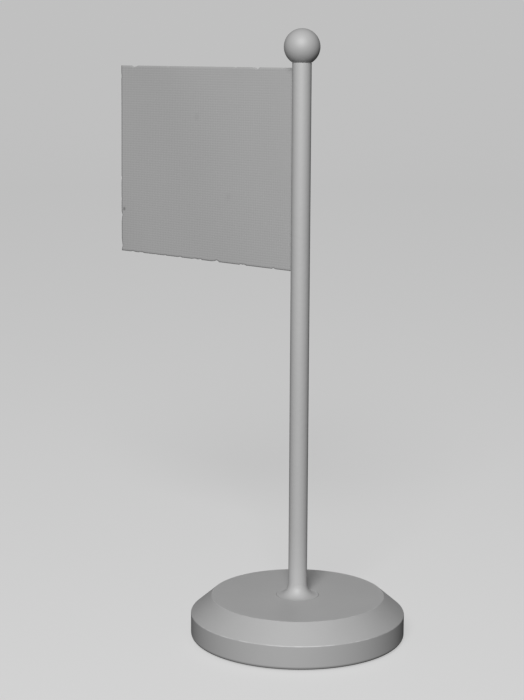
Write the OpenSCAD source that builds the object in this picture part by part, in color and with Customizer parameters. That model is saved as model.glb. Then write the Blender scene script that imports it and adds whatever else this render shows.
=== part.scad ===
// Desk flag stand: a weighted round base, a pole that swivels in it, and a flag cartridge
// (flag, luff rod, plug and ball finial) that lifts out of the pole's slotted top.
// Z is up, the desk is at z = 0, the pole stands on the Z axis and the flag flies along -X.

/* [Overall] */
// Height from the desk to the top of the ball finial
overall_h = 307; // [260:1:360]

/* [Base] */
// Outside diameter of the base
base_d = 109; // [96:1:140]
// Height of the base's flat top above the desk
base_h = 22; // [19:0.5:28]
// Height of the upright side above the desk, where the sloped shoulder starts
rim_h = 13; // [10:0.5:16]
// Diameter of the flat top, inside the sloped shoulder
top_d = 88; // [72:1:92]
// Wall thickness of the moulded shell
shell_wall = 3; // [2.2:0.1:3.6]
// Rounding of the two edges of the shoulder
edge_round = 0.8; // [0.4:0.1:1.2]
// Rounding of the lower outside edge
bottom_round = 2; // [1:0.1:2.6]
// How far the felt pad stands proud of the shell
pad_proud = 0.8; // [0.5:0.1:1.5]
// Thickness of the felt pad
pad_t = 1.6; // [1.2:0.1:2.4]
// Gap from the felt pad's edge to the shell
pad_margin = 1; // [0.5:0.1:4]
// Thickness of the bottom cover
cover_t = 2; // [1.8:0.1:3]

/* [Cover screws] */
// Number of screws in the bottom cover
screw_count = 3; // [3:1:6]
// Thread diameter of a cover screw
screw_d = 3; // [2.5:0.1:3.5]
// Head diameter of a cover screw
screw_head_d = 5.6; // [5:0.1:6.4]
// Length of a cover screw
screw_len = 10; // [8:0.5:13]
// Outside diameter of the posts that the cover screws bite into
post_d = 8; // [6.5:0.1:9]

/* [Swivel] */
// Diameter of the spigot under the pole's foot
spigot_d = 8; // [6.5:0.1:9]
// Wall of the bush that the spigot turns in
bush_wall = 2; // [1.5:0.1:2.5]
// Radius of the bush's flange beyond its sleeve
bush_flange = 2; // [1.5:0.1:2.5]
// Depth of the flange's seat in the top of the shell
bush_seat = 1.5; // [1:0.1:2]
// Outside diameter of the hub that holds the bush
hub_d = 21; // [17:0.5:24]
// Free height of the conical friction spring
spring_h = 0.75; // [0.6:0.05:1]
// Sheet thickness of the friction spring
spring_t = 0.4; // [0.3:0.05:0.5]
// Outside diameter of the retaining washer
washer_d = 14; // [12:0.5:16]
// Thickness of the retaining washer
washer_t = 1; // [0.8:0.1:1.2]
// Thread diameter of the retaining screw
bolt_d = 4; // [3:0.5:4]
// Length of the retaining screw under its head
bolt_len = 11; // [8:0.5:12]
// Thickness of the split lock washer
lock_t = 0.9; // [0.8:0.1:1.2]

/* [Pole] */
// Outside diameter of the pole
pole_d = 9.5; // [8.5:0.1:12]
// Wall thickness of the pole's tube
pole_wall = 1.2; // [1:0.1:1.5]
// Radius of the hollow flare at the foot of the pole
flare_round = 6; // [4:0.5:8]
// Thickness of the flare's rim, which is let into the base until flush
flare_rim = 0.8; // [0.5:0.1:1]
// Plain length of the foot between the flare and the tube
foot_land = 0.5; // [0.5:0.5:6]
// Length of the foot's tenon inside the tube
tenon_len = 15; // [10:1:25]
// Width of the slot that the flag passes through
slot_w = 1.2; // [1.1:0.1:1.6]

/* [Flag] */
// Reach of the flag from the pole's axis to its free edge
flag_fly = 133; // [90:1:160]
// Height of the flag along the pole
flag_hoist = 100; // [70:1:120]
// Drop from the top of the pole's tube to the flag's top edge
flag_drop = 2.6; // [1:0.1:8]
// Thickness of the stiffened cloth
cloth_t = 0.5; // [0.3:0.05:0.55]

/* [Finial] */
// Diameter of the ball finial
ball_d = 17.8; // [15:0.1:24]
// Length of the plug that hangs under the ball
plug_len = 12; // [10:0.5:16]
// Thread diameter of the luff rod's upper end
thread_d = 3; // [2.5:0.1:3.2]
// Wall of the threaded insert in the ball
insert_wall = 1.2; // [0.8:0.1:1.4]
// Length of the threaded insert
insert_len = 8; // [6:0.5:9]
// Thickness of the O-ring's section
ring_t = 1; // [0.8:0.05:1.2]

/* [Clearances] */
// Gap between faces that slide or turn on each other
slide_gap = 0.05; // [0.02:0.01:0.1]
// Radial gap of the spigot in its bush and the plug in its tube
fit_gap = 0.05; // [0.02:0.01:0.08]
// Radial gap around the flag's sewn sleeve in the tube
sleeve_gap = 0.35; // [0.3:0.05:0.4]
// Gap around pieces that drop in loosely
loose_gap = 0.3; // [0.2:0.05:0.5]
// Gap between the flare's rim and its recess in the base
rim_gap = 0.15; // [0.1:0.05:0.3]

/* [Hidden] */

$fn = 96;
ARC_STEPS = 8;  // flats that a rounded corner is drawn with
CUT = 1;        // overshoot of a cutting tool past the face it cuts

// Base levels and radii
base_r = base_d / 2;
top_r = top_d / 2;
cover_z = pad_t;
cover_top = cover_z + cover_t;
ceiling_z = base_h - shell_wall;
inner_r = base_r - shell_wall;
mouth_round = 0.4;

// Outer slope of the shoulder, as a unit vector up the slope and one out of it
slope = unit([top_r - base_r, base_h - rim_h]);
slope_out = [slope.y, -slope.x];

// Swivel stack, from the cover up to the hub
bolt_head_r = 3.6;
bolt_head_h = 2.4;
bolt_key = 2.5;         // width across flats of the hexagon socket
bolt_key_depth = 1.5;
bolt_round = 0.5;
head_room = 0.8;        // air between the bolt's head and the cover
tip_room = 0.4;         // air past the tip of a cover screw
spigot_r = spigot_d / 2;
bush_r = spigot_r + fit_gap;
sleeve_r = bush_r + bush_wall;
flange_r = sleeve_r + bush_flange;
seat_r = flange_r + fit_gap;
head_z = cover_top + head_room;
lock_z = head_z + bolt_head_h;
washer_z = lock_z + lock_t;
spigot_end = washer_z + washer_t;
hub_z = spigot_end + slide_gap + spring_h;
flare_z = base_h - flare_rim;           // underside of the flare
recess_z = flare_z - rim_gap;           // floor of the flare's recess
flange_z = recess_z - bush_seat;        // underside of the bush's flange
bolt_r = bolt_d / 2;

// Cover screw posts, just inside the ceiling's edge
post_r = post_d / 2;
post_ring_r = top_knee(shell_wall).x - post_r - 1;
screw_r = screw_d / 2;
screw_head_r = screw_head_d / 2;
head_cone_h = screw_head_r - screw_r;   // a 90 degree countersink
head_land = 0.3;                        // cylindrical edge under the head's cone

// Pole and finial levels
pole_r = pole_d / 2;
bore_r = pole_r - pole_wall;
flare_r = pole_r + flare_round;
tube_z = base_h + flare_round + foot_land;
ball_r = ball_d / 2;
ball_z = overall_h - ball_r;
tube_top = ball_z - sqrt(ball_r * ball_r - pole_r * pole_r);
seat_z = tube_top + slide_gap;
plug_z = tube_top - plug_len;
plug_r = bore_r - fit_gap;
thread_r = thread_d / 2;
insert_r = thread_r + insert_wall;
ring_r = plug_r - ring_t / 2;           // radius of the middle of the O-ring's section
ring_z = tube_top - plug_len / 2;
tube_break = 0.1;                       // chamfer that breaks the tube's lower edge

// Flag levels
flag_top = tube_top - flag_drop;
flag_z = flag_top - flag_hoist;
cuff_r = bore_r - sleeve_gap;           // outside of the cloth wrapped round the rod
rod_r = cuff_r - cloth_t;
cuff_top = plug_z - loose_gap;
end_gap = 0.5;                          // left past the rod's two ends
slot_z = flag_z + sqrt(pow(slot_w / 2, 2) - pow(cloth_t / 2 + fit_gap, 2));

// A vector of length 1 along v
function unit(v) = v / norm(v);

// Where the shoulder's inner face, t under its outer face, meets the inner side wall
function side_knee(t) =
    let (q = [base_r, rim_h] - slope_out * t, s = (base_r - t - q.x) / slope.x)
    [base_r - t, q.y + slope.y * s];

// Where the shoulder's inner face, t under its outer face, meets the ceiling
function top_knee(t) =
    let (q = [base_r, rim_h] - slope_out * t, s = (base_h - t - q.y) / slope.y)
    [q.x + slope.x * s, base_h - t];

// Points of the arc of radius r that rounds corner b between neighbours a and c
function corner(a, b, c, r) =
    let (
        u = unit(a - b),
        v = unit(c - b),
        half = acos(u * v) / 2,
        middle = b + unit(u + v) * r / sin(half),
        from = b + u * r / tan(half) - middle,
        to = b + v * r / tan(half) - middle,
        start = atan2(from.y, from.x),
        sweep = (atan2(to.y, to.x) - start + 540) % 360 - 180
    )
    [for (i = [0:ARC_STEPS]) middle + r * [cos(start + sweep * i / ARC_STEPS),
                                           sin(start + sweep * i / ARC_STEPS)]];

// Outline through points given as [x, y, rounding]
function rounded(points) =
    let (n = len(points))
    [for (i = [0:n - 1])
        let (
            a = points[(i + n - 1) % n],
            b = points[i],
            c = points[(i + 1) % n]
        )
        each b[2] > 0 ? corner([a.x, a.y], [b.x, b.y], [c.x, c.y], b[2]) : [[b.x, b.y]]];

// A solid of revolution from points given as [radius, height, rounding]
module turned(points) {
    rotate_extrude() polygon(rounded(points));
}

// A ring with square edges, its lower face at height z
module ring(outside, hole, z, h) {
    translate([0, 0, z]) difference() {
        cylinder(r = outside, h = h);
        translate([0, 0, -CUT]) cylinder(r = hole, h = h + 2 * CUT);
    }
}

// Places its children at each cover screw
module at_screws() {
    for (i = [0:screw_count - 1]) rotate(i * 360 / screw_count) translate([post_ring_r, 0, 0]) children();
}

module felt_pad() {
    color("dimgray") cylinder(r = inner_r - pad_margin, h = pad_t);
}

module bottom_cover() {
    color("darkgray") difference() {
        translate([0, 0, cover_z]) cylinder(r = inner_r - loose_gap, h = cover_t);
        at_screws() {
            translate([0, 0, cover_z - CUT]) cylinder(r = screw_r + loose_gap, h = cover_t + 2 * CUT);
            translate([0, 0, cover_z - CUT]) cylinder(r = screw_head_r + fit_gap, h = CUT + head_land);
            translate([0, 0, cover_z + head_land])
                cylinder(r1 = screw_head_r + fit_gap, r2 = screw_r, h = head_cone_h + fit_gap);
        }
    }
}

// One countersunk cover screw with a cross recess, its head flush at cover_z
module cover_screw() {
    recess_w = 0.8;
    recess_depth = 1.2;
    translate([0, 0, cover_z]) difference() {
        union() {
            cylinder(r = screw_head_r, h = head_land);
            translate([0, 0, head_land]) cylinder(r1 = screw_head_r, r2 = screw_r, h = head_cone_h);
            translate([0, 0, head_land]) cylinder(r = screw_r, h = screw_len - head_land);
        }
        for (turn = [0, 90]) rotate(turn)
            translate([-screw_r, -recess_w / 2, -CUT]) cube([2 * screw_r, recess_w, CUT + recess_depth]);
    }
}

module cover_screws() {
    color("silver") at_screws() cover_screw();
}

// Cast weight that fills the shell around the hub and the screw posts
module ballast_puck() {
    side = side_knee(shell_wall + loose_gap);
    crown = top_knee(shell_wall + loose_gap);
    hole_r = hub_d / 2 + loose_gap;
    cast_round = 1;
    color("gray") difference() {
        turned([
            [hole_r, cover_top, 0],
            [side.x, cover_top, cast_round],
            [side.x, side.y, 0],
            [crown.x, crown.y, 0],
            [hole_r, crown.y, 0]
        ]);
        at_screws() translate([0, 0, cover_top - CUT]) cylinder(r = post_r + loose_gap, h = base_h);
    }
}

module base_shell() {
    side = side_knee(shell_wall);
    crown = top_knee(shell_wall);
    recess_r = flare_r + rim_gap;
    color("lightgray") difference() {
        union() {
            turned([
                [seat_r, recess_z, 0],
                [recess_r, recess_z, 0],
                [recess_r, base_h, 0],
                [top_r, base_h, edge_round],
                [base_r, rim_h, edge_round],
                [base_r, pad_proud, bottom_round],
                [inner_r, pad_proud, mouth_round],
                [side.x, side.y, 0],
                [crown.x, crown.y, 0],
                [hub_d / 2, ceiling_z, 0],
                [hub_d / 2, hub_z, mouth_round],
                [sleeve_r, hub_z, 0],
                [sleeve_r, flange_z, 0],
                [seat_r, flange_z, 0]
            ]);
            at_screws() translate([0, 0, cover_top])
                cylinder(r = post_r, h = ceiling_z + shell_wall / 2 - cover_top);
        }
        at_screws() translate([0, 0, cover_top - CUT])
            cylinder(r = screw_r, h = CUT + screw_len - cover_t + tip_room);
    }
}

module swivel_bush() {
    color("ivory") turned([
        [bush_r, hub_z, 0],
        [sleeve_r, hub_z, 0],
        [sleeve_r, flange_z, 0],
        [flange_r, flange_z, 0],
        [flange_r, flare_z - slide_gap, 0],
        [bush_r, flare_z - slide_gap, 0]
    ]);
}

// Conical spring washer that presses the swivel and gives it friction
module friction_spring() {
    low = spigot_end + slide_gap;
    rise = spring_h - spring_t;
    hole_r = spigot_r + loose_gap;
    rim_r = washer_d / 2;
    color("silver") turned([
        [hole_r, low + rise, 0],
        [rim_r, low, 0],
        [rim_r, low + spring_t, 0],
        [hole_r, hub_z, 0]
    ]);
}

module retaining_washer() {
    color("silver") ring(washer_d / 2, bolt_r + fit_gap, washer_z, washer_t);
}

// Split ring with a slanted cut, as pressed flat
module lock_washer() {
    split = 0.6;
    slant = 25;
    color("silver") difference() {
        ring(bolt_head_r, bolt_r + fit_gap, lock_z, lock_t);
        translate([0, 0, lock_z + lock_t / 2]) rotate([slant, 0, 0])
            translate([0, -split / 2, -lock_t]) cube([bolt_head_r + CUT, split, 2 * lock_t]);
    }
}

module retaining_screw() {
    color("silver") difference() {
        union() {
            turned([
                [0, head_z, 0],
                [bolt_head_r, head_z, bolt_round],
                [bolt_head_r, lock_z, 0],
                [0, lock_z, 0]
            ]);
            translate([0, 0, lock_z]) cylinder(r = bolt_r, h = bolt_len);
        }
        translate([0, 0, head_z - CUT])
            cylinder(r = bolt_key / sqrt(3), h = CUT + bolt_key_depth, $fn = 6);
    }
}

// Turned foot: spigot below, hollow flare, and a tenon that the tube is pressed on to
module pole_foot() {
    arc_z = base_h + flare_round;
    color("lightgray") difference() {
        union() {
            translate([0, 0, spigot_end]) cylinder(r = spigot_r, h = flare_z - spigot_end);
            rotate_extrude() difference() {
                translate([0, flare_z]) square([flare_r, tube_z - flare_z]);
                translate([flare_r, arc_z]) circle(r = flare_round);
                translate([pole_r, arc_z]) square([flare_round + CUT, foot_land + CUT]);
            }
            translate([0, 0, tube_z]) cylinder(r = bore_r, h = tenon_len);
        }
        translate([0, 0, spigot_end - CUT]) cylinder(r = bolt_r, h = CUT + bolt_len);
    }
}

// Tube with a slot down its flag side, open at the top and round at the bottom
module pole_tube() {
    color("lightgray") difference() {
        turned([
            [bore_r, tube_z, 0],
            [pole_r - tube_break, tube_z, 0],
            [pole_r, tube_z + tube_break, 0],
            [pole_r, tube_top, 0],
            [bore_r, tube_top, 0]
        ]);
        translate([-pole_r - CUT, -slot_w / 2, slot_z]) cube([pole_r + CUT, slot_w, tube_top - slot_z + CUT]);
        translate([0, 0, slot_z]) rotate([0, -90, 0]) cylinder(r = slot_w / 2, h = pole_r + CUT);
    }
}

// Stiffened cloth: one flat panel, with a cuff bonded round the luff rod
module flag_cloth() {
    notch_x = bore_r + sleeve_gap / 2;
    color("darkgray") {
        difference() {
            union() {
                translate([-flag_fly, -cloth_t / 2, flag_z])
                    cube([flag_fly - rod_r - cloth_t / 2, cloth_t, flag_hoist]);
                translate([0, 0, flag_z]) cylinder(r = cuff_r, h = cuff_top - flag_z);
            }
            translate([0, 0, flag_z - CUT]) cylinder(r = rod_r, h = flag_hoist + 2 * CUT);
            translate([-notch_x, -bore_r, cuff_top]) cube([notch_x, 2 * bore_r, flag_hoist]);
        }
    }
}

module luff_rod() {
    color("silver") union() {
        translate([0, 0, flag_z + end_gap]) cylinder(r = rod_r, h = plug_z - flag_z - end_gap);
        translate([0, 0, plug_z]) cylinder(r = thread_r, h = plug_len + insert_len - end_gap);
    }
}

// Plug that centres the cartridge in the tube's mouth, grooved for the O-ring
module finial_plug() {
    side_play = 0.1;
    groove_w = ring_t + 2 * side_play;
    color("dimgray") difference() {
        ring(plug_r, thread_r, plug_z, plug_len);
        ring(plug_r + CUT, ring_r - ring_t / 2, ring_z - groove_w / 2, groove_w);
    }
}

module plug_o_ring() {
    color("black") translate([0, 0, ring_z]) rotate_extrude() translate([ring_r, 0]) circle(r = ring_t / 2);
}

module finial_insert() {
    color("goldenrod") ring(insert_r, thread_r + fit_gap, seat_z, insert_len);
}

module finial_ball() {
    color("lightgray") difference() {
        translate([0, 0, ball_z]) sphere(r = ball_r);
        translate([-ball_r, -ball_r, seat_z - 2 * ball_r]) cube(2 * ball_r);
        translate([0, 0, seat_z - CUT]) cylinder(r = insert_r + fit_gap / 2, h = CUT + insert_len + end_gap);
    }
}

felt_pad();
bottom_cover();
cover_screws();
ballast_puck();
base_shell();
swivel_bush();
friction_spring();
retaining_washer();
lock_washer();
retaining_screw();
pole_foot();
pole_tube();
flag_cloth();
luff_rod();
finial_plug();
plug_o_ring();
finial_insert();
finial_ball();
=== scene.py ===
"""Looks of a desk flag stand: the visible pieces, finishes, studio and camera round its CAD frame.

Everything is in metres in the stand's own frame: the desk is at z = 0, the pole stands on the Z
axis and the flag flies along -X.
"""

import logging
import math
from collections.abc import Iterable, Sequence
from dataclasses import dataclass, field
from enum import Enum

import bmesh
import bpy
from mathutils import Matrix, Vector, noise


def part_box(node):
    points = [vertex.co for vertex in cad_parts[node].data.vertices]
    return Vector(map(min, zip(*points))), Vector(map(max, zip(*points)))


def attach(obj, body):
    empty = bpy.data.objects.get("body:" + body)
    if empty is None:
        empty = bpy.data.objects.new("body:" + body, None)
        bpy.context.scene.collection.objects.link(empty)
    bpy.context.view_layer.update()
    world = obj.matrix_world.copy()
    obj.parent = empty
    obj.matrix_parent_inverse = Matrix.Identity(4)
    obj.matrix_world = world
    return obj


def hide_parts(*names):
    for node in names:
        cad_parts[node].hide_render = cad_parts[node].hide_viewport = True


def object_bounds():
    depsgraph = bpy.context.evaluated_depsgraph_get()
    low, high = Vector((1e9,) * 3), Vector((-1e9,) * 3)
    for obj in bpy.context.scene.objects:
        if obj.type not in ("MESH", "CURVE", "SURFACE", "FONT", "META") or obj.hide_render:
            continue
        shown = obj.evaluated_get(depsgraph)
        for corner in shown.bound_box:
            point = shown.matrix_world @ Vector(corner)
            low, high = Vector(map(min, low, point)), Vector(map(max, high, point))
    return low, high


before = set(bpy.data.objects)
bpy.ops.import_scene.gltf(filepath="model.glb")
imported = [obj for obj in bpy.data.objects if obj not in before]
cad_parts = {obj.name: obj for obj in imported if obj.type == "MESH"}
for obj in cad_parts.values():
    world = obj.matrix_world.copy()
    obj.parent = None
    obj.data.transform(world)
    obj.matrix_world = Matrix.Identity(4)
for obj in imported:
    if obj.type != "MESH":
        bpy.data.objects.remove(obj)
CAD_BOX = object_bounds()

LOG = logging.getLogger("flag_stand")
MM = 0.001
ORIGIN = Vector((0.0, 0.0, 0.0))
UP = Vector((0.0, 0.0, 1.0))
WELD = 0.001 * MM       # points closer than this are one point
SAME = 0.01 * MM        # how exactly a rim's points are recognised
# The edge wear attribute marks the shell's worn rims, which get wear and a painted highlight, and
# the cloth's sealed edges and marks
WEAR_AND_HIGHLIGHT = "edge_wear_and_highlight"      # vertex attribute, 1 on the crest of a rounded rim
LAY = "cloth_lay"       # vertex attribute, where each point of the cloth lies along its threads
CLOUDY = 0.55           # how strongly the finer octaves show in cloudy noise
COLOUR_A = 6            # a Mix node's first colour
COLOUR_B = 7            # a Mix node's second colour
MIXED = 2               # a Mix node's mixed colour


class Body(str, Enum):
    """The bodies that the new pieces ride on."""

    BASE = "base"
    POLE = "pole"
    FLAG = "flag"
    BALL = "ball"


# --------------------------------------------------------------------------- finishes


def linear(colour: str) -> tuple[float, float, float, float]:
    """Turn an sRGB hex colour to linear light.

    Args:
        colour: Six hex digits after a hash sign.

    Returns:
        Linear red, green, blue and an alpha of 1.
    """
    parts = (int(colour[i : i + 2], 16) / 255 for i in (1, 3, 5))
    light = [c / 12.92 if c <= 0.04045 else ((c + 0.055) / 1.055) ** 2.4 for c in parts]
    return (*light, 1.0)


def add_node(
    tree: bpy.types.NodeTree,
    kind: str,
    settings: dict[str | int, object] | None = None,
    links: dict[str | int, bpy.types.NodeSocket] | None = None,
    output: str | int = 0,
) -> bpy.types.NodeSocket:
    """Add a shader node with its settings and links.

    Args:
        tree: The node tree it goes into.
        kind: The node's type without its ShaderNode prefix.
        settings: Property or input names, or input numbers, with their values.
        links: Input names or numbers, with the sockets that feed them.
        output: Name or number of the output that is wanted.

    Returns:
        The wanted output of the new node.
    """
    node = tree.nodes.new("ShaderNode" + kind)
    for name, value in (settings or {}).items():
        if isinstance(name, str) and name in node.bl_rna.properties:
            setattr(node, name, value)
        else:
            node.inputs[name].default_value = value
    for name, socket in (links or {}).items():
        tree.links.new(socket, node.inputs[name])
    return node.outputs[output]


def per_mm(size_mm: float) -> float:
    """Give the scale of a pattern on metres whose spacing is a size in millimetres."""
    return 1 / (size_mm * MM)


@dataclass(frozen=True)
class Finish:
    """A material with slow colour patches, a fine relief and rims rubbed lighter, which is wear and
    also a painted highlight along them.

    Subclasses give the relief another pattern, or lay it along the surface.
    """

    name: str
    colour: str
    patch_colour: str
    roughness: float
    roughness_swing: float
    relief_mm: float
    grain_mm: float
    patch_mm: float = 24.0
    metallic: float = 0.0
    ior: float = 1.5
    gloss: float = 0.5
    sheen: float = 0.0
    glow: float = 0.0
    worn_and_highlight_colour: str | None = None
    rubbed_and_highlit_mm: float = 6.0
    rubbed_and_highlit_from: float = 0.42
    rubbed_and_highlit_to: float = 0.62

    def build(self) -> bpy.types.Material:
        """Make the Blender material.

        Returns:
            The material, ready to assign.
        """
        material = bpy.data.materials.new(self.name)
        material.use_nodes = True
        tree = material.node_tree
        shader = tree.nodes["Principled BSDF"]
        shader.inputs["Metallic"].default_value = self.metallic
        shader.inputs["IOR"].default_value = self.ior
        shader.inputs["Specular IOR Level"].default_value = self.gloss
        shader.inputs["Sheen Weight"].default_value = self.sheen
        shader.inputs["Emission Strength"].default_value = self.glow
        place = self.lay(tree)
        blobs = {"Scale": per_mm(self.patch_mm), "Detail": 3.0, "Roughness": CLOUDY}
        patches = add_node(tree, "TexNoise", blobs, {"Vector": place})
        pair = {COLOUR_A: linear(self.colour), COLOUR_B: linear(self.patch_colour)}
        body = add_node(tree, "Mix", {"data_type": "RGBA", **pair}, {0: patches}, MIXED)
        if self.worn_and_highlight_colour:
            body = self.wear_and_highlight(tree, place, body)
        blobs = {"Scale": per_mm(self.patch_mm / 3), "Detail": 4.0, "Roughness": CLOUDY}
        haze = add_node(tree, "TexNoise", blobs, {"Vector": place})
        low, high = self.roughness - self.roughness_swing, self.roughness + self.roughness_swing
        swing = {"To Min": low, "To Max": high}
        gloss = add_node(tree, "MapRange", swing, {"Value": haze})
        depth = {"Strength": 1.0, "Distance": self.relief_mm * MM}
        bump = add_node(tree, "Bump", depth, {"Height": self.relief(tree, place)})
        tree.links.new(body, shader.inputs["Base Color"])
        tree.links.new(gloss, shader.inputs["Roughness"])
        tree.links.new(bump, shader.inputs["Normal"])
        return material

    def lay(self, tree: bpy.types.NodeTree) -> bpy.types.NodeSocket:
        """Give the coordinates, in metres, that the patterns lie on."""
        return add_node(tree, "TexCoord", output="Object")

    def wear_and_highlight(
        self, tree: bpy.types.NodeTree, place: bpy.types.NodeSocket, body: bpy.types.NodeSocket
    ) -> bpy.types.NodeSocket:
        """Rub the rims lighter, in uneven stretches: wear, and a painted highlight along the rims.

        Args:
            tree: The material's node tree.
            place: Coordinates in metres.
            body: The colour before the rims are worn and highlighted.

        Returns:
            The colour with the worn rims and their painted highlight.
        """
        rim = add_node(tree, "Attribute", {"attribute_name": WEAR_AND_HIGHLIGHT}, output="Fac")
        blobs = {"Scale": per_mm(self.rubbed_and_highlit_mm), "Detail": 4.0, "Roughness": CLOUDY}
        uneven = add_node(tree, "TexNoise", blobs, {"Vector": place})
        limits = {"From Min": self.rubbed_and_highlit_from, "From Max": self.rubbed_and_highlit_to}
        stretches = add_node(tree, "MapRange", limits, {"Value": uneven})
        share = add_node(tree, "Math", {"operation": "MULTIPLY"}, {0: rim, 1: stretches})
        # The rims are mixed towards a lighter colour: wear and a painted highlight
        rubbed_and_highlit = {"data_type": "RGBA", COLOUR_B: linear(self.worn_and_highlight_colour)}
        return add_node(tree, "Mix", rubbed_and_highlit, {0: share, COLOUR_A: body}, MIXED)

    def relief(
        self, tree: bpy.types.NodeTree, place: bpy.types.NodeSocket
    ) -> bpy.types.NodeSocket:
        """Give the height of the surface's fine relief.

        Args:
            tree: The material's node tree.
            place: Coordinates in metres.

        Returns:
            The height, from 0 to 1.
        """
        grain = {"Scale": per_mm(self.grain_mm), "Detail": 2.0, "Roughness": CLOUDY}
        return add_node(tree, "TexNoise", grain, {"Vector": place})


@dataclass(frozen=True)
class Turned(Finish):
    """A lathe-turned or drawn surface: fine tool lines along or round the pole's axis."""

    squeeze: tuple[float, float, float] = (0.05, 0.05, 1.0)

    def relief(
        self, tree: bpy.types.NodeTree, place: bpy.types.NodeSocket
    ) -> bpy.types.NodeSocket:
        """Give the height of the tool lines: noise drawn out along them.

        Args:
            tree: The material's node tree.
            place: Coordinates in metres.

        Returns:
            The height, from 0 to 1.
        """
        drawn = add_node(tree, "Mapping", {"Scale": self.squeeze}, {"Vector": place})
        lines = {"Scale": per_mm(self.grain_mm), "Detail": 1.0, "Roughness": CLOUDY}
        return add_node(tree, "TexNoise", lines, {"Vector": drawn})


@dataclass(frozen=True)
class Woven(Finish):
    """A plain weave, its threads grain_mm apart: each goes over and under those it crosses."""

    back: float = 0.5
    crimp: float = 0.4
    least_lift: float = 0.5

    def lay(self, tree: bpy.types.NodeTree) -> bpy.types.NodeSocket:
        """Give the cloth's own coordinates, so that its threads follow it round the rod."""
        return add_node(tree, "Attribute", {"attribute_name": LAY}, output="Vector")

    def wear_and_highlight(
        self, tree: bpy.types.NodeTree, place: bpy.types.NodeSocket, body: bpy.types.NodeSocket
    ) -> bpy.types.NodeSocket:
        """Darken the cloth where the hot knife sealed it and where it is marked.

        Args:
            tree: The material's node tree.
            place: Coordinates in metres.
            body: The colour of clean cloth.

        Returns:
            The marked colour.
        """
        marks = add_node(tree, "Attribute", {"attribute_name": WEAR_AND_HIGHLIGHT}, output="Fac")
        marked = {"data_type": "RGBA", COLOUR_B: linear(self.worn_and_highlight_colour)}
        return add_node(tree, "Mix", marked, {0: marks, COLOUR_A: body}, MIXED)

    def relief(
        self, tree: bpy.types.NodeTree, place: bpy.types.NodeSocket
    ) -> bpy.types.NodeSocket:
        """Give the height of the crossing threads.

        Args:
            tree: The material's node tree.
            place: Coordinates in metres.

        Returns:
            The height, from 0 to 1.
        """
        waves, ridges = [], []
        for axis in ("X", "Z"):
            way = add_node(tree, "SeparateXYZ", links={"Vector": place}, output=axis)
            turns = {"operation": "MULTIPLY", 1: math.pi * per_mm(self.grain_mm)}
            phase = add_node(tree, "Math", turns, {0: way})
            waves.append(add_node(tree, "Math", {"operation": "SINE"}, {0: phase}))
            ridges.append(add_node(tree, "Math", {"operation": "ABSOLUTE"}, {0: waves[-1]}))
        crossing = add_node(tree, "Math", {"operation": "MULTIPLY"}, {0: waves[0], 1: waves[1]})
        on_top = add_node(tree, "Math", {"operation": "GREATER_THAN", 1: 0.0}, {0: crossing})
        lifts = []
        for across, along in (ridges, reversed(ridges)):
            # A thread has a rounded back, and is highest where it passes over the other
            back = add_node(tree, "Math", {"operation": "POWER", 1: self.back}, {0: across})
            climb = {"operation": "MULTIPLY_ADD", 1: self.crimp, 2: self.least_lift}
            arch = add_node(tree, "Math", climb, {0: along})
            lifts.append(add_node(tree, "Math", {"operation": "MULTIPLY"}, {0: back, 1: arch}))
        return add_node(tree, "Mix", links={0: on_top, 2: lifts[1], 3: lifts[0]})


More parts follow.
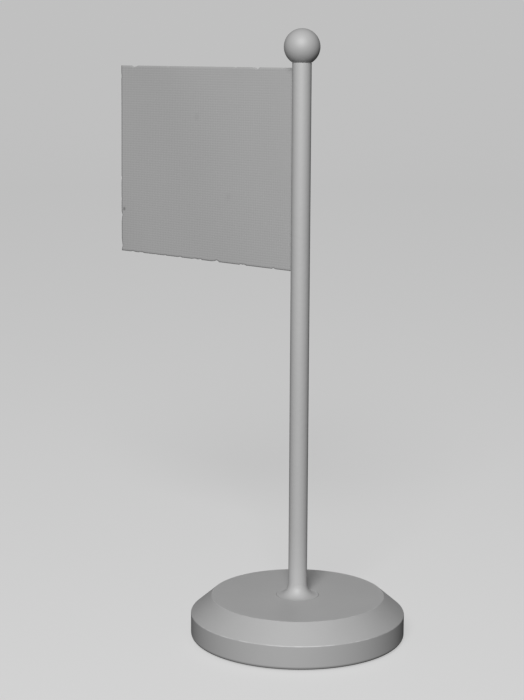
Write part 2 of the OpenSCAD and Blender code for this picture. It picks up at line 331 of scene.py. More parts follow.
class Finishes:
    """Every finish of the stand and its floor, each made once and shared."""

    # ABS, injection moulded in a spark-eroded tool: an even satin, with a grain that only shows
    # close up. Its worn rims are lighter: wear, and a painted highlight along them
    SHELL_ABS = Finish(
        "moulded_abs_satin", colour="#CBCBCB", patch_colour="#C6C6C6", roughness=0.57,
        roughness_swing=0.05, relief_mm=0.025, grain_mm=0.6, ior=1.53, gloss=1.0,
        worn_and_highlight_colour="#E2E2E2",
    )
    # Polyester powder coat on aluminium: smooth satin with the soft dimples of orange peel
    POWDER_COAT = Finish(
        "powder_coat_satin", colour="#CDCDCD", patch_colour="#C9C9C9", roughness=0.57,
        roughness_swing=0.04, relief_mm=0.06, grain_mm=2.4, gloss=1.0, worn_and_highlight_colour="#E2E2E2",
    )
    # ABS ball, moulded and lightly polished: a smooth satin with one broad, soft highlight
    BALL_ABS = Finish(
        "moulded_abs_ball", colour="#C6C6C6", patch_colour="#C2C2C2", roughness=0.58,
        roughness_swing=0.04, relief_mm=0.02, grain_mm=1.4, ior=1.53, gloss=1.0,
        worn_and_highlight_colour="#E2E2E2",
    )
    # Plain-woven polyester, stiffened with resin: matt, with a faint thread pattern. The threads
    # are drawn 1.25 mm apart, coarser than the real 0.3 mm, so that they show at all
    FLAG_POLYESTER = Woven(
        "woven_polyester_stiffened", colour="#C8C8C8", patch_colour="#C3C3C3", roughness=0.78,
        roughness_swing=0.06, relief_mm=0.06, grain_mm=1.25, patch_mm=40.0, sheen=0.12,
        worn_and_highlight_colour="#4E4E4E",
    )
    # Pressed wool felt: dark, dull and hairy
    PAD_FELT = Finish(
        "pressed_wool_felt", colour="#3E3E40", patch_colour="#4A4A4C", roughness=0.95,
        roughness_swing=0.03, relief_mm=0.25, grain_mm=0.5, patch_mm=3.0, sheen=0.4,
    )
    # Zinc-plated sheet and screws: a cool, slightly cloudy metal
    ZINC_PLATE = Finish(
        "zinc_plated_steel", colour="#C3C7CB", patch_colour="#AEB3B8", roughness=0.34,
        roughness_swing=0.08, relief_mm=0.004, grain_mm=0.6, patch_mm=5.0, metallic=1.0,
    )
    # Sand-cast grey iron: dark, with the grain of the sand
    CAST_IRON = Finish(
        "sand_cast_iron", colour="#5A5A5C", patch_colour="#454547", roughness=0.7,
        roughness_swing=0.1, relief_mm=0.12, grain_mm=0.9, patch_mm=8.0, metallic=0.7,
    )
    # Pressed spring steel, oiled: a dark, smooth grey metal
    SPRING_STEEL = Finish(
        "oiled_spring_steel", colour="#8A8C90", patch_colour="#6E7074", roughness=0.3,
        roughness_swing=0.06, relief_mm=0.003, grain_mm=0.4, patch_mm=4.0, metallic=1.0,
    )
    # Acetal, turned on a lathe: waxy off-white with fine rings
    ACETAL = Turned(
        "turned_acetal", colour="#E2E0DA", patch_colour="#D8D6CF", roughness=0.36,
        roughness_swing=0.05, relief_mm=0.006, grain_mm=0.3, ior=1.48,
    )
    # Drawn steel rod: bright, with fine lines along it
    ROD_STEEL = Turned(
        "drawn_bright_steel", colour="#BDC0C4", patch_colour="#A9ADB2", roughness=0.26,
        roughness_swing=0.05, relief_mm=0.003, grain_mm=0.25, metallic=1.0,
        squeeze=(1.0, 1.0, 0.03),
    )
    # Nitrile rubber, moulded: black with a dull bloom
    RUBBER = Finish(
        "nitrile_rubber", colour="#1B1B1C", patch_colour="#242425", roughness=0.62,
        roughness_swing=0.08, relief_mm=0.01, grain_mm=0.5, patch_mm=2.0, ior=1.52,
    )
    # Brass, turned on a lathe: warm yellow metal with fine rings
    BRASS = Turned(
        "turned_brass", colour="#D9B76A", patch_colour="#C9A557", roughness=0.25,
        roughness_swing=0.05, relief_mm=0.004, grain_mm=0.3, metallic=1.0,
    )
    # Matt distemper on the studio's floor: pale and without gloss, with a glow that keeps it even
    FLOOR = Finish(
        "pale_matt_floor", colour="#8E8E8E", patch_colour="#8E8E8E", roughness=0.9,
        roughness_swing=0.02, relief_mm=0.01, grain_mm=2.0, gloss=0.0, glow=0.50,
    )

    def __init__(self) -> None:
        """Start with no material made."""
        self.made: dict[str, bpy.types.Material] = {}

    def get(self, finish: Finish) -> bpy.types.Material:
        """Return the material of a finish, made the first time it is asked for."""
        if finish.name not in self.made:
            self.made[finish.name] = finish.build()
        return self.made[finish.name]


# --------------------------------------------------------------------------- shaping


@dataclass(frozen=True)
class Corner:
    """One corner of an outline that is turned round the pole's axis."""

    radius: float
    height: float
    rounding: float = 0.0
    # Whether the rim gets wear and a painted highlight
    worn_and_highlit: bool = False

    @property
    def point(self) -> Vector:
        """The corner as a point in the XZ plane."""
        return Vector((self.radius, 0.0, self.height))


def rim_edges(solid: bmesh.types.BMesh, corner: Corner) -> list[bmesh.types.BMEdge]:
    """Find the ring of edges at a corner of the outline.

    Args:
        solid: The turned solid.
        corner: The corner whose ring is wanted.

    Returns:
        The edges that run round the axis there.
    """

    def on_rim(vert: bmesh.types.BMVert) -> bool:
        """Tell whether a point is on the ring."""
        radius = vert.co.xy.length
        return abs(radius - corner.radius) < SAME and abs(vert.co.z - corner.height) < SAME

    return [e for e in solid.edges if all(on_rim(v) for v in e.verts)]


def turn(outline: Sequence[Corner], steps: int, segments: int = 6) -> bmesh.types.BMesh:
    """Spin a closed outline round the pole's axis, then round its rims and mark the worn ones,
    which get wear and a painted highlight.

    Args:
        outline: The outline's corners in order.
        steps: Number of flats round the axis.
        segments: Number of flats across a rounded rim.

    Returns:
        A closed solid.
    """
    solid = bmesh.new()
    wear_and_highlight = solid.verts.layers.float.new(WEAR_AND_HIGHLIGHT)
    points = [solid.verts.new(c.point) for c in outline]
    pairs = zip(points, points[1:] + points[:1])
    edges = [solid.edges.new(p) for p in pairs if max(v.co.x for v in p) > WELD]
    bmesh.ops.spin(
        solid, geom=points + edges, cent=ORIGIN, axis=UP, angle=math.tau, steps=steps,
        use_merge=True,
    )
    bmesh.ops.remove_doubles(solid, verts=solid.verts, dist=WELD)
    neighbours = zip(outline[-1:] + outline[:-1], outline, outline[1:] + outline[:1])
    for before, corner, after in neighbours:
        if corner.rounding <= 0:
            continue
        bend = (corner.point - before.point).angle(after.point - corner.point)
        setback = corner.rounding * math.tan(bend / 2)
        arc = bmesh.ops.bevel(
            solid, geom=rim_edges(solid, corner), offset=setback, offset_type="OFFSET",
            segments=segments, profile=0.5, affect="EDGES", clamp_overlap=False, material=-1,
        )
        crest = corner.rounding / math.cos(bend / 2) - corner.rounding
        # The crest of a worn rim is marked for wear and a painted highlight
        for vert in arc["verts"] if corner.worn_and_highlit else ():
            gap = math.hypot(vert.co.xy.length - corner.radius, vert.co.z - corner.height)
            vert[wear_and_highlight] = max(0.0, 1 - (gap - crest) / (setback - crest))
    bmesh.ops.remove_doubles(solid, verts=solid.verts, dist=WELD)
    bmesh.ops.dissolve_degenerate(solid, edges=solid.edges, dist=WELD)
    bmesh.ops.recalc_face_normals(solid, faces=solid.faces)
    return solid


def add_copies(
    solid: bmesh.types.BMesh, shape: bmesh.types.BMesh, places: Iterable[Matrix]
) -> None:
    """Add copies of a shape to a solid.

    Args:
        solid: The solid that gets them.
        shape: The shape that is copied, freed afterwards.
        places: Where each copy goes.
    """
    pattern = bpy.data.meshes.new("pattern")
    shape.to_mesh(pattern)
    shape.free()
    for place in places:
        known = set(solid.verts)
        solid.from_mesh(pattern)
        fresh = [v for v in solid.verts if v not in known]
        bmesh.ops.transform(solid, matrix=place, verts=fresh)
    bpy.data.meshes.remove(pattern)


@dataclass
class SubAssembly:
    """Pieces that move together, with the finishes they are dressed in."""

    finishes: Finishes
    body: Body = field(default=Body.BASE, init=False)
    smooth_deg: float = field(default=32.0, init=False)

    def place(
        self,
        name: str,
        solid: bmesh.types.BMesh,
        finish: Finish,
        slot: str,
        replaced: Sequence[str],
        evened: bool = True,
    ) -> bpy.types.Object:
        """Turn a solid into a finished piece that rides on this sub-assembly's body.

        Args:
            name: The piece's name.
            solid: Its shape, freed afterwards.
            finish: Its finish.
            slot: The record's material slot of the piece; not used.
            replaced: CAD nodes that it stands for.
            evened: Whether its shading is evened across flats and rounded rims.

        Returns:
            The piece's object.
        """
        mesh = bpy.data.meshes.new(name)
        solid.to_mesh(mesh)
        solid.free()
        mesh.shade_smooth()
        mesh.set_sharp_from_angle(angle=math.radians(self.smooth_deg))
        mesh.materials.append(self.finishes.get(finish))
        piece = bpy.data.objects.new(name, mesh)
        bpy.context.scene.collection.objects.link(piece)
        if evened:
            even = piece.modifiers.new("even_shading", "WEIGHTED_NORMAL")
            even.keep_sharp = True
        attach(piece, self.body.value)
        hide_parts(*replaced)
        LOG.info("%s: %d faces on body %s", name, len(mesh.polygons), self.body.value)
        return piece

    def dress(self, node: str, finish: Finish) -> None:
        """Give a CAD node its finish.

        Args:
            node: The node's name.
            finish: Its finish.
        """
        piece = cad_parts[node]
        piece.data.materials.clear()
        piece.data.materials.append(self.finishes.get(finish))
        LOG.info("%s: CAD node in %s", node, finish.name)


def top_of(node: str) -> float:
    """Height of a CAD node's highest point."""
    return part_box(node)[1].z


def foot_of(node: str) -> float:
    """Height of a CAD node's lowest point."""
    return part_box(node)[0].z


def radius_of(node: str) -> float:
    """Greatest radius of a CAD node that is round about the pole's axis."""
    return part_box(node)[1].y


# --------------------------------------------------------------------------- base


@dataclass
class Base(SubAssembly):
    """The weighted base: shell, felt pad and what is hidden between them."""

    body: Body = field(default=Body.BASE, init=False)
    rim_h: float = 13 * MM
    top_r: float = 44 * MM
    wall: float = 3 * MM
    edge_round: float = 0.8 * MM
    bottom_round: float = 2 * MM
    mouth_round: float = 0.4 * MM
    hub_r: float = 10.5 * MM
    rim_gap: float = 0.15 * MM
    fit_gap: float = 0.05 * MM
    bush_seat: float = 1.5 * MM
    bush_flange: float = 2 * MM
    post_r: float = 4 * MM
    screw_r: float = 1.5 * MM
    screw_tip_room: float = 0.4 * MM
    post_gap: float = 1 * MM
    post_steps: int = 48
    steps: int = 192
    pad_soft: float = 0.35 * MM
    pad_ring: float = 0.6
    pad_border: float = 2 * MM
    pad_steps: int = 360
    hair_from: float = 0.98
    hair_size: float = 1.5 * MM
    hair_height: float = 0.16 * MM

    def build(self) -> None:
        """Make and dress every piece of the base."""
        self.make_shell()
        self.make_pad()
        for node in ("bottom_cover", "cover_screws", "retaining_washer", "retaining_screw"):
            self.dress(node, Finishes.ZINC_PLATE)
        for node in ("friction_spring", "lock_washer"):
            self.dress(node, Finishes.SPRING_STEEL)
        self.dress("ballast_puck", Finishes.CAST_IRON)
        self.dress("swivel_bush", Finishes.ACETAL)

    def knees(self) -> tuple[tuple[float, float], tuple[float, float]]:
        """Find the inner corners of the wall under the sloped shoulder.

        Returns:
            Radius and height of the lower corner, then of the upper one.
        """
        outer_r = radius_of("base_shell")
        rise = Vector((self.top_r - outer_r, top_of("base_shell") - self.rim_h)).normalized()
        inner = Vector((outer_r, self.rim_h)) - Vector((rise.y, -rise.x)) * self.wall
        side_r = outer_r - self.wall
        ceiling = top_of("base_shell") - self.wall
        side_z = inner.y + rise.y * (side_r - inner.x) / rise.x
        crown_r = inner.x + rise.x * (ceiling - inner.y) / rise.y
        return (side_r, side_z), (crown_r, ceiling)

    def make_shell(self) -> None:
        """Turn the moulded shell with its hub and bush seat, and add the screw posts."""
        outer_r, top, lip = radius_of("base_shell"), top_of("base_shell"), foot_of("base_shell")
        side, crown = self.knees()
        hub_z = foot_of("swivel_bush")
        sleeve_r = radius_of("swivel_bush") - self.bush_flange
        recess_r = radius_of("pole_foot") + self.rim_gap
        recess_z = top_of("swivel_bush") - self.rim_gap + self.fit_gap
        seat_r = radius_of("swivel_bush") + self.fit_gap
        seat_z = recess_z - self.bush_seat
        fine = self.rim_gap / 2
        shell = turn(
            [
                Corner(seat_r, recess_z),
                Corner(recess_r, recess_z),
                Corner(recess_r, top, fine),
                # These two shoulder rims are worn lighter: wear and a painted highlight
                Corner(self.top_r, top, self.edge_round, worn_and_highlit=True),
                Corner(outer_r, self.rim_h, self.edge_round, worn_and_highlit=True),
                Corner(outer_r, lip, self.bottom_round),
                Corner(side[0], lip, self.mouth_round),
                Corner(*side),
                Corner(*crown),
                Corner(self.hub_r, crown[1]),
                Corner(self.hub_r, hub_z, self.mouth_round),
                Corner(sleeve_r, hub_z),
                Corner(sleeve_r, seat_z),
                Corner(seat_r, seat_z),
            ],
            self.steps,
        )
        foot_z = top_of("bottom_cover")
        hole_z = top_of("cover_screws") + self.screw_tip_room
        post = turn(
            [
                Corner(0.0, crown[1] + self.wall / 2),
                Corner(self.post_r, crown[1] + self.wall / 2),
                Corner(self.post_r, foot_z),
                Corner(self.screw_r, foot_z),
                Corner(self.screw_r, hole_z),
                Corner(0.0, hole_z),
            ],
            self.post_steps,
        )
        out = Matrix.Translation((crown[0] - self.post_r - self.post_gap, 0, 0))
        thirds = [Matrix.Rotation(i * math.tau / 3, 4, "Z") for i in range(3)]
        add_copies(shell, post, [third @ out for third in thirds])
        self.place(
            "base_shell_moulding", shell, Finishes.SHELL_ABS, "shell_plastic", ["base_shell"]
        )

    def make_pad(self) -> None:
        """Cut the felt pad: a disc with a soft, slightly hairy cut edge."""
        radius, height = radius_of("felt_pad"), top_of("felt_pad")
        pad = turn(
            [
                Corner(0.0, 0.0),
                Corner(radius * self.pad_ring, 0.0),
                Corner(radius - self.pad_border, 0.0),
                Corner(radius, 0.0, self.pad_soft),
                Corner(radius, height, self.pad_soft),
                Corner(0.0, height),
            ],
            self.pad_steps,
            segments=4,
        )
        for vert in pad.verts:
            if vert.co.xy.length > self.hair_from * radius:
                swell = noise.noise(vert.co / self.hair_size) - 0.5
                vert.co.xy *= 1 + swell * self.hair_height / radius
        self.place("felt_pad_cut", pad, Finishes.PAD_FELT, "pad_felt", ["felt_pad"])


# --------------------------------------------------------------------------- pole


@dataclass
class Pole(SubAssembly):
    """The pole: its turned foot and its slotted tube."""

    body: Body = field(default=Body.POLE, init=False)
    flare_round: float = 6 * MM
    wall: float = 1.2 * MM
    spigot_r: float = 4 * MM
    bolt_r: float = 2 * MM
    bolt_room: float = 1.9 * MM
    flare_rim: float = 0.8 * MM
    flare_segments: int = 14
    slot_w: float = 1.2 * MM
    slot_rise: float = 0.52 * MM
    slot_rows: int = 8
    edge_break: float = 0.1 * MM
    steps: int = 128

    @property
    def bore_r(self) -> float:
        """Radius of the tube's bore."""
        return radius_of("pole_tube") - self.wall

    def build(self) -> None:
        """Make and dress every piece of the pole."""
        self.make_foot()
        self.make_tube()

    def make_foot(self) -> None:
        """Turn the foot: spigot, flare that runs out level with the base's top, and tenon."""
        tube_r, rim_r = radius_of("pole_tube"), radius_of("pole_foot")
        base_top, tube_z = top_of("base_shell"), foot_of("pole_tube")
        foot_z, head_z = foot_of("pole_foot"), top_of("pole_foot")
        bolt_end = top_of("retaining_screw") + self.bolt_room
        foot = turn(
            [
                Corner(self.bolt_r, foot_z),
                Corner(self.spigot_r, foot_z, 2 * self.edge_break),
                Corner(self.spigot_r, base_top - self.flare_rim),
                Corner(rim_r, base_top - self.flare_rim, self.edge_break),
                Corner(rim_r, base_top),
                Corner(tube_r, base_top, self.flare_round),
                Corner(tube_r, tube_z, self.edge_break),
                Corner(self.bore_r, tube_z),
                Corner(self.bore_r, head_z, 2 * self.edge_break),
                Corner(0.0, head_z),
                Corner(0.0, bolt_end),
                Corner(self.bolt_r, bolt_end),
            ],
            self.steps,
            self.flare_segments,
        )
        self.place("pole_foot_turned", foot, Finishes.POWDER_COAT, "pole_paint", ["pole_foot"])

    def slot_half(self, height: float) -> float:
        """Half of the slot's width at a height.

        Args:
            height: Height above the desk.

        Returns:
            Nothing below the slot, a round end, then half of the slot's full width.
        """
        half = self.slot_w / 2
        below = self.slot_centre - height
        if below <= 0:
            return half
        return math.sqrt(max(0.0, half * half - below * below))

    @property
    def slot_centre(self) -> float:
        """Height of the centre of the slot's round end, just above the flag's lower edge."""
        return foot_of("flag_cloth") + self.slot_rise

    def make_tube(self) -> None:
        """Bend a strip round the axis into the tube, leaving the slot between its two edges."""
        outer, bore = radius_of("pole_tube"), self.bore_r
        low, high = foot_of("pole_tube"), top_of("pole_tube")
        half = self.slot_w / 2
        arc = [
            self.slot_centre - half * math.cos(i / self.slot_rows * math.pi / 2)
            for i in range(self.slot_rows + 1)
        ]
        rows = [low + self.edge_break, *arc, high - self.edge_break]
        tube = bmesh.new()
        tube.verts.layers.float.new(WEAR_AND_HIGHLIGHT)
        lip_r, mouth_r = outer - self.edge_break, bore + self.edge_break
        outside = [(lip_r, low), *((outer, z) for z in rows), (lip_r, high)]
        inside = [(mouth_r, high), *((bore, z) for z in reversed(rows)), (bore, low)]
        points = [tube.verts.new((-r, 0.0, z)) for r, z in (*outside, *inside)]
        edges = [tube.edges.new(pair) for pair in zip(points, points[1:] + points[:1])]
        gap = math.asin(half / outer)
        bmesh.ops.rotate(tube, cent=ORIGIN, matrix=Matrix.Rotation(gap, 3, "Z"), verts=points)
        spun = bmesh.ops.spin(
            tube, geom=points + edges, cent=ORIGIN, axis=UP, angle=math.tau - 2 * gap,
            steps=self.steps,
        )
        ends = [points, [g for g in spun["geom_last"] if isinstance(g, bmesh.types.BMVert)]]
        for side, end in zip((-1, 1), ends):
            for vert in end:
                radius = vert.co.xy.length
                y = side * self.slot_half(vert.co.z)
                vert.co.xy = (-math.sqrt(radius * radius - y * y), y)
            # The slot's wall joins the strip's outer and inner edge
            line = {v for v in end if v.co.z >= arc[0] - SAME}
            own = [e for e in tube.edges if set(e.verts) <= line]
            sides = [e for e in own if abs(e.verts[0].co.z - e.verts[1].co.z) > WELD]
            bmesh.ops.bridge_loops(tube, edges=sides)
        bmesh.ops.remove_doubles(tube, verts=tube.verts, dist=WELD)
        bmesh.ops.recalc_face_normals(tube, faces=tube.faces)
        self.place("pole_tube_slotted", tube, Finishes.POWDER_COAT, "pole_paint", ["pole_tube"])


# --------------------------------------------------------------------------- flag


@dataclass
class Flag(SubAssembly):
    """The flag: stiffened cloth on a rod that hides in the tube, and the plug above it."""

    body: Body = field(default=Body.FLAG, init=False)
    cloth_t: float = 0.5 * MM
    weave_step: float = 0.8 * MM
    cuff_r: float = 3.2 * MM
    rod_r: float = 2.7 * MM
    thread_r: float = 1.5 * MM
    pitch: float = 0.5 * MM
    rod_end_round: float = 0.3 * MM
    rod_top_round: float = 0.1 * MM
    # The thread's outline over one pitch: its share of the full depth, then of the pitch
    thread_form: tuple[tuple[float, float], ...] = (
        (0.0, 0.0), (0.0, 0.15), (1.0, 0.5), (1.0, 0.62), (0.0, 1.0),
    )
    thread_depth: float = 0.27 * MM
    thread_steps: int = 32
    round_steps: int = 64
    cuff_round: float = 0.15 * MM
    plug_gap: float = 0.3 * MM
    notch_x: float = 3.725 * MM
    nick_depth: float = 1.6 * MM
    nick_limit: float = 0.9 * MM
    nick_length: float = 7 * MM
    nick_reach: float = 3.2 * MM
    # The cut is rough at two scales, and wanders in only where it is roughest
    finer: float = 2.7
    finer_share: float = 0.6
    nick_from: float = 0.22
    smooth_by_pole: float = 1.5
    sway: float = 0.35 * MM
    sway_along: float = 17 * MM
    sway_up: float = 31 * MM
    sealed: float = 0.12
    # Small marks in the cloth: share of its width from the pole, share of its height, radius
    # and strength
    marks: tuple[tuple[float, float, float, float], ...] = (
        (0.984, 0.229, 1.3 * MM, 0.9),
        (0.545, 0.740, 2.4 * MM, 0.09),
        (0.365, 0.343, 2.4 * MM, 0.09),
    )

    def build(self) -> None:
        """Make and dress every piece of the flag."""
        cuff = self.make_cuff()
        self.make_cloth(cuff)
        self.make_rod()
        self.dress("finial_plug", Finishes.ACETAL)
        self.dress("plug_o_ring", Finishes.RUBBER)

    def make_cuff(self) -> bpy.types.Object:
        """Wrap the cuff round the rod.

        Returns:
            The cuff's piece.
        """
        low, high = foot_of("flag_cloth"), foot_of("finial_plug") - self.plug_gap
        soft = self.cuff_round
        cuff = turn(
            [
                Corner(self.rod_r, low, soft),
                Corner(self.cuff_r, low, soft),
                Corner(self.cuff_r, high, soft),
                Corner(self.rod_r, high, soft),
            ],
            self.round_steps,
            segments=3,
        )
        lay = cuff.verts.layers.float_vector.new(LAY)
        for vert in cuff.verts:
            round_rod = math.atan2(vert.co.y, vert.co.x) * self.cuff_r
            vert[lay] = Vector((round_rod, 0.0, vert.co.z))
        return self.place("flag_cuff", cuff, Finishes.FLAG_POLYESTER, "flag_fabric", ["flag_cloth"])

    def make_cloth(self, cuff: bpy.types.Object) -> None:
        """Cut the cloth with uneven hot-knife edges, small marks and a very slight sway.

        Args:
            cuff: The cuff that the cloth is bonded to; not used.
        """
        low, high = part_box("flag_cloth")
        inner_x = -(self.rod_r + self.cloth_t / 2)
        width, height = inner_x - low.x, high.z - low.z
        columns, rows = round(width / self.weave_step), round(height / self.weave_step)
        cloth = bmesh.new()
        bmesh.ops.create_grid(cloth, x_segments=columns, y_segments=rows, size=0.5)
        stand = (
            Matrix.Translation(((low.x + inner_x) / 2, 0, (low.z + high.z) / 2))
            @ Matrix.Rotation(math.pi / 2, 4, "X")
            @ Matrix.Diagonal((width, height, 1, 1))
        )
        bmesh.ops.transform(cloth, matrix=stand, verts=cloth.verts)
        notch_x = -self.notch_x - self.weave_step / 2
        notch_z = foot_of("finial_plug") - self.plug_gap
        middles = {f: f.calc_center_median() for f in cloth.faces}
        above = [f for f, at in middles.items() if at.x > notch_x and at.z > notch_z]
        bmesh.ops.delete(cloth, geom=above, context="FACES")
        wear_and_highlight = cloth.verts.layers.float.new(WEAR_AND_HIGHLIGHT)
        lay = cloth.verts.layers.float_vector.new(LAY)
        for vert in cloth.verts:
            reach = (inner_x - vert.co.x) / width
            rise = (vert.co.z - low.z) / height
            vert[wear_and_highlight] = self.sealed if self.nick(vert, low, high) else 0.0
            for along, up, size, strength in self.marks:
                gap = math.hypot((reach - along) * width, (rise - up) * height) / size
                vert[wear_and_highlight] = max(vert[wear_and_highlight], strength * (1 - gap))
            wave = math.sin(vert.co.x / self.sway_along + vert.co.z / self.sway_up)
            vert.co.y += self.sway * reach * wave
            vert[lay] = vert.co
        piece = self.place(
            "flag_panel", cloth, Finishes.FLAG_POLYESTER, "flag_fabric", ["flag_cloth"],
            evened=False,
        )
        thick = piece.modifiers.new("cloth_thickness", "SOLIDIFY")
        thick.thickness = self.cloth_t
        thick.offset = 0.0

    def nick(self, vert: bmesh.types.BMVert, low: Vector, high: Vector) -> bool:
        """Draw a point near the cut edges in by the unevenness of the cut.

        Args:
            vert: A point of the cloth.
            low: The cloth's lowest corner.
            high: The cloth's highest corner.

        Returns:
            Whether the point is on a cut edge.
        """
        inward, cut = Vector((0.0, 0.0, 0.0)), False
        for axis, edge, way in ((0, low.x, 1.0), (2, low.z, 1.0), (2, high.z, -1.0)):
            share = 1 - abs(vert.co[axis] - edge) / self.nick_reach
            if share > 0:
                on_edge = vert.co.copy()
                on_edge[axis] = edge
                inward[axis] = way * share * self.cut_depth(on_edge)
                cut = cut or abs(vert.co[axis] - edge) < SAME
        vert.co += inward
        return cut

    def cut_depth(self, spot: Vector) -> float:
        """Say how far in the cut wandered at a point of the edge.

        Args:
            spot: A point on the cloth's edge.

        Returns:
            The depth, which is nothing in most places and near the pole.
        """
        place = spot / self.nick_length
        rough = noise.noise(place) + self.finer_share * noise.noise(place * self.finer)
        depth = self.nick_depth * max(0.0, rough - self.nick_from)
        clear_of_pole = min(1.0, max(0.0, -place.x - self.smooth_by_pole))
        return clear_of_pole * min(self.nick_limit, depth)

    def make_rod(self) -> None:
        """Turn the luff rod and cut its M3 thread."""
        low, shoulder, top = foot_of("luff_rod"), foot_of("finial_plug"), top_of("luff_rod")
        rod = turn(
            [
                Corner(0.0, low),
                Corner(self.rod_r, low, self.rod_end_round),
                Corner(self.rod_r, shoulder, self.rod_top_round),
                Corner(0.0, shoulder),
            ],
            self.round_steps,
        )
        thread = bmesh.new()
        thread.verts.layers.float.new(WEAR_AND_HIGHLIGHT)
        start, root_r = shoulder - 2 * self.pitch, self.thread_r - self.thread_depth
        points = [
            thread.verts.new((root_r + out * self.thread_depth, 0.0, start + up * self.pitch))
            for out, up in self.thread_form
        ]
        edges = [thread.edges.new(pair) for pair in zip(points, points[1:])]
        turns = math.ceil((top - start) / self.pitch) + 1
        bmesh.ops.spin(
            thread, geom=points + edges, cent=ORIGIN, axis=UP, angle=turns * math.tau,
            steps=turns * self.thread_steps, dvec=UP * self.pitch / self.thread_steps,
        )
        bmesh.ops.remove_doubles(thread, verts=thread.verts, dist=WELD)
        for cut_z, side in ((shoulder - self.pitch / 2, -1), (top, 1)):
            bmesh.ops.bisect_plane(
                thread, geom=[*thread.verts, *thread.edges, *thread.faces], dist=WELD / 10,
                plane_co=UP * cut_z, plane_no=UP * side, clear_outer=True,
            )
        ends = [e for e in thread.edges if e.is_boundary]
        bmesh.ops.holes_fill(thread, edges=ends, sides=0)
        bmesh.ops.recalc_face_normals(thread, faces=thread.faces)
        add_copies(rod, thread, [Matrix.Identity(4)])
        self.place("luff_rod_threaded", rod, Finishes.ROD_STEEL, "rod_steel", ["luff_rod"])


# --------------------------------------------------------------------------- finial


@dataclass
class Finial(SubAssembly):
    """The ball on top, with its brass insert."""

    body: Body = field(default=Body.BALL, init=False)
    insert_gap: float = 0.025 * MM
    end_gap: float = 0.5 * MM
    edge_break: float = 0.12 * MM
    meridians: int = 128
    parallels: int = 80

    def build(self) -> None:
        """Make the ball and dress its insert."""
        self.make_ball()
        self.dress("finial_insert", Finishes.BRASS)

    def make_ball(self) -> None:
        """Cut a ball flat underneath and bore it for its insert."""
        radius = radius_of("finial_ball")
        top, flat_z = top_of("finial_ball"), foot_of("finial_ball")
        hole_r = radius_of("finial_insert") + self.insert_gap
        hole_z = top_of("finial_insert") + self.end_gap
        ball = bmesh.new()
        ball.verts.layers.float.new(WEAR_AND_HIGHLIGHT)
        bmesh.ops.create_uvsphere(
            ball, u_segments=self.meridians, v_segments=self.parallels, radius=radius
        )
        bmesh.ops.translate(ball, vec=UP * (top - radius), verts=ball.verts)
        bmesh.ops.bisect_plane(
            ball, geom=[*ball.verts, *ball.edges, *ball.faces], plane_co=UP * flat_z, plane_no=-UP,
            clear_outer=True,
        )
        rim = [e for e in ball.edges if e.is_boundary]
        flat_r = rim[0].verts[0].co.xy.length
        for scale, rise in ((hole_r / flat_r, 0.0), (1.0, hole_z - flat_z)):
            grown = bmesh.ops.extrude_edge_only(ball, edges=rim)["geom"]
            verts = [g for g in grown if isinstance(g, bmesh.types.BMVert)]
            bmesh.ops.scale(ball, vec=(scale, scale, 1.0), verts=verts)
            bmesh.ops.translate(ball, vec=UP * rise, verts=verts)
            rim = [g for g in grown if isinstance(g, bmesh.types.BMEdge) and g.is_boundary]
        bmesh.ops.holes_fill(ball, edges=rim, sides=0)
        bmesh.ops.bevel(
            ball, geom=rim_edges(ball, Corner(flat_r, flat_z)), offset=self.edge_break, segments=2,
            profile=0.5, affect="EDGES", material=-1,
        )
        bmesh.ops.recalc_face_normals(ball, faces=ball.faces)
        self.place("finial_ball_moulding", ball, Finishes.BALL_ABS, "ball_plastic", ["finial_ball"])


# --------------------------------------------------------------------------- studio


@dataclass(frozen=True)
class Lamp:
    """A round soft lamp on a stand, aimed at the middle of the object."""

    name: str
    azimuth_deg: float
    out: float
    up: float
    size: float
    power: float
    fills_only: bool = False


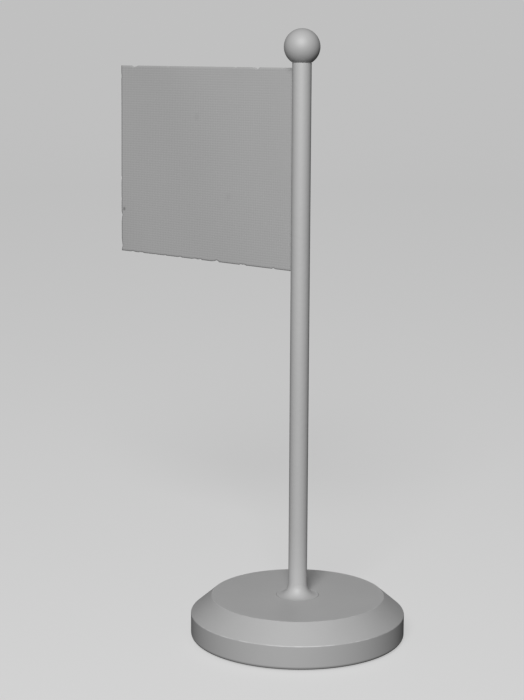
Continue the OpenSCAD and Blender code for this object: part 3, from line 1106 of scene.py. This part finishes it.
@dataclass(frozen=True)
class Studio:
    """Plain pale floor that curves up all round, two soft lamps, and the camera."""

    floor_r: float = 3.0
    cove_r: float = 1.5
    wall_h: float = 4.0
    floor_steps: int = 96
    cove_segments: int = 24
    air_colour: str = "#E6E6E6"
    air_strength: float = 0.05
    # The key lamp hangs beside the camera; the weaker one lights the far side
    lamps: tuple[Lamp, ...] = (
        Lamp("key_lamp", azimuth_deg=36.5, out=1.55, up=1.17, size=0.80, power=28.8),
        Lamp(
            "far_lamp", azimuth_deg=218.0, out=2.20, up=0.30, size=0.90, power=27.0,
            fills_only=True,
        ),
    )
    camera_azimuth_deg: float = 42.96
    camera_out: float = 0.8605
    camera_up: float = 0.2966
    pan_deg: float = 44.21
    pitch_deg: float = 9.752
    roll_deg: float = 0.275
    lens_mm: float = 89.85

    def build(self) -> None:
        """Make the floor, the light and the camera."""
        self.make_floor()
        self.make_light()
        self.make_camera()

    def out(self, azimuth_deg: float, distance: float, height: float) -> Vector:
        """Give the place at a distance from the pole, at the azimuth that the views use.

        Args:
            azimuth_deg: 0 is in front, towards -Y, and 90 is towards +X.
            distance: Distance from the pole's axis.
            height: Height above the floor.

        Returns:
            The place.
        """
        turn_by = math.radians(azimuth_deg)
        return Vector((math.sin(turn_by) * distance, -math.cos(turn_by) * distance, height))

    def make_floor(self) -> None:
        """Sweep the pale floor, with its edge curved up into a wall."""
        edge = self.floor_r + self.cove_r
        sweep = bmesh.new()
        foot, corner, head = (
            sweep.verts.new(c) for c in ((0, 0, 0), (edge, 0, 0), (edge, 0, self.wall_h))
        )
        for ends in ((foot, corner), (corner, head)):
            sweep.edges.new(ends)
        bmesh.ops.bevel(
            sweep, geom=[corner], offset=self.cove_r, segments=self.cove_segments, profile=0.5,
            affect="VERTICES", material=-1,
        )
        bmesh.ops.spin(
            sweep, geom=[*sweep.verts, *sweep.edges], cent=ORIGIN, axis=UP, angle=math.tau,
            steps=self.floor_steps, use_merge=True,
        )
        bmesh.ops.remove_doubles(sweep, verts=sweep.verts, dist=WELD)
        bmesh.ops.recalc_face_normals(sweep, faces=sweep.faces)
        mesh = bpy.data.meshes.new("floor")
        sweep.to_mesh(mesh)
        sweep.free()
        mesh.shade_smooth()
        mesh.materials.append(Finishes.FLOOR.build())
        floor = bpy.data.objects.new("floor", mesh)
        # The floor is seen but throws no light back, so the stand keeps its dark undersides
        floor.visible_diffuse = False
        floor.visible_glossy = False
        bpy.context.scene.collection.objects.link(floor)

    def make_light(self) -> None:
        """Hang the soft lamps and set the light of the room."""
        scene = bpy.context.scene
        aim = UP * (CAD_BOX[1].z / 2)
        unlit = bpy.data.collections.new("not_lit_by_fill")
        unlit.objects.link(bpy.data.objects["floor"])
        unlit.collection_objects[0].light_linking.link_state = "EXCLUDE"
        for lamp in self.lamps:
            light = bpy.data.lights.new(lamp.name, "AREA")
            light.shape = "DISK"
            light.size = lamp.size
            light.energy = lamp.power
            hung = bpy.data.objects.new(lamp.name, light)
            hung.location = self.out(lamp.azimuth_deg, lamp.out, lamp.up)
            hung.rotation_euler = (aim - hung.location).to_track_quat("-Z", "Y").to_euler()
            hung.visible_camera = False
            if lamp.fills_only:
                hung.visible_glossy = False
                hung.light_linking.receiver_collection = unlit
            scene.collection.objects.link(hung)
        world = bpy.data.worlds.new("room")
        world.use_nodes = True
        air = world.node_tree.nodes["Background"]
        air.inputs["Color"].default_value = linear(self.air_colour)
        air.inputs["Strength"].default_value = self.air_strength
        scene.world = world
        scene.view_settings.view_transform = "Standard"

    def make_camera(self) -> None:
        """Set the camera in front, to the right and a little above."""
        lens = bpy.data.cameras.new("camera")
        lens.lens = self.lens_mm
        camera = bpy.data.objects.new("camera", lens)
        camera.location = self.out(self.camera_azimuth_deg, self.camera_out, self.camera_up)
        ahead = self.out(self.pan_deg, -math.cos(math.radians(self.pitch_deg)), 0)
        ahead.z = -math.sin(math.radians(self.pitch_deg))
        level = ahead.to_track_quat("-Z", "Y").to_matrix()
        rolled = level @ Matrix.Rotation(math.radians(self.roll_deg), 3, "Z")
        camera.rotation_euler = rolled.to_euler()
        bpy.context.scene.collection.objects.link(camera)
        bpy.context.scene.camera = camera


def main() -> None:
    """Build the studio and the stand."""
    logging.basicConfig(level=logging.INFO, format="%(name)s: %(message)s")
    Studio().build()
    finishes = Finishes()
    for part in (Base(finishes), Pole(finishes), Flag(finishes), Finial(finishes)):
        part.build()


if __name__ == "__main__":
    main()
